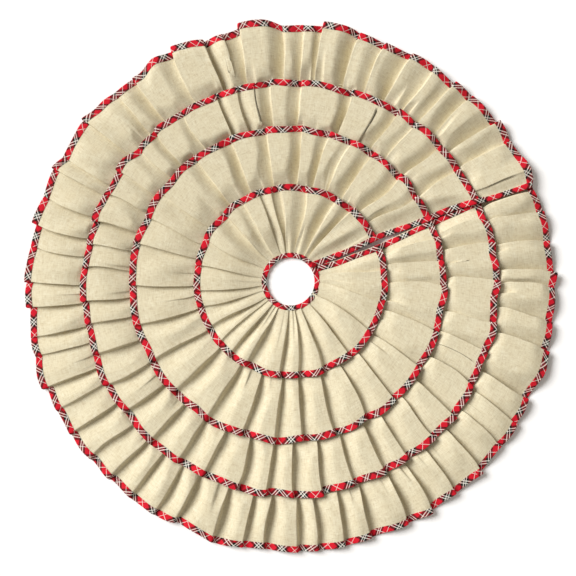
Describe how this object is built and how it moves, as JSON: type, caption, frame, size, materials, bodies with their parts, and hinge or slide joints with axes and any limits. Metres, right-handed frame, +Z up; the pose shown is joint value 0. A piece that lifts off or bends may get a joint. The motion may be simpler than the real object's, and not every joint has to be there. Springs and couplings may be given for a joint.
{
  "type": "tree skirt",
  "caption": "Round ruffled tree skirt in burlap with tartan bias binding, a trunk opening and a slit whose two sides fold back.",
  "frame": {"origin": "centre of the trunk opening, on the floor", "axes": "+Z up, +X outwards along the slit from the trunk opening, +Y on the left flap side"},
  "size_m": [1.216, 1.216, 0.0194],
  "materials": {
    "burlap": "coarse plain weave, natural",
    "tartan_tape": "red tartan cotton cut on the bias",
    "cotton_thread": "natural cotton"
  },
  "bodies": {
    "skirt": {"base_cloth_back": "burlap", "gathering_thread_2_back": "cotton_thread", "gathering_thread_3_back": "cotton_thread", "gathering_thread_4_back": "cotton_thread", "hem_binding_1_back": "tartan_tape", "hem_binding_2_back": "tartan_tape", "hem_binding_3_back": "tartan_tape", "hem_binding_4_back": "tartan_tape", "neck_binding_back": "tartan_tape", "ruffle_1_strip_1": "burlap", "ruffle_1_strip_2": "burlap", "ruffle_2_strip_1": "burlap", "ruffle_2_strip_2": "burlap", "ruffle_3_strip_1": "burlap", "ruffle_3_strip_2": "burlap", "ruffle_4_strip_1": "burlap", "ruffle_4_strip_2": "burlap", "ruffle_4_strip_3": "burlap"},
    "left_flap": {"base_cloth_left_flap": "burlap", "gathering_thread_2_left_flap": "cotton_thread", "gathering_thread_3_left_flap": "cotton_thread", "gathering_thread_4_left_flap": "cotton_thread", "hem_binding_1_left_flap": "tartan_tape", "hem_binding_2_left_flap": "tartan_tape", "hem_binding_3_left_flap": "tartan_tape", "hem_binding_4_left_flap": "tartan_tape", "neck_binding_left_flap": "tartan_tape", "ruffle_1_left_flap": "burlap", "ruffle_2_left_flap": "burlap", "ruffle_3_left_flap": "burlap", "ruffle_4_left_flap": "burlap", "slit_binding_left": "tartan_tape"},
    "right_flap": {"base_cloth_right_flap": "burlap", "gathering_thread_2_right_flap": "cotton_thread", "gathering_thread_3_right_flap": "cotton_thread", "gathering_thread_4_right_flap": "cotton_thread", "hem_binding_1_right_flap": "tartan_tape", "hem_binding_2_right_flap": "tartan_tape", "hem_binding_3_right_flap": "tartan_tape", "hem_binding_4_right_flap": "tartan_tape", "neck_binding_right_flap": "tartan_tape", "ruffle_1_right_flap": "burlap", "ruffle_2_right_flap": "burlap", "ruffle_3_right_flap": "burlap", "ruffle_4_right_flap": "burlap", "slit_binding_right": "tartan_tape"}
  },
  "joints": [
    {"name": "left_flap_fold", "type": "hinge", "parent": "skirt", "child": "left_flap", "pos_m": [0, 0, 0.0198], "axis": [-0.766, -0.6428, 0], "range_deg": [0, 160]},
    {"name": "right_flap_fold", "type": "hinge", "parent": "skirt", "child": "right_flap", "pos_m": [0, 0, 0.0198], "axis": [0.766, -0.6428, 0], "range_deg": [0, 160]}
  ]
}
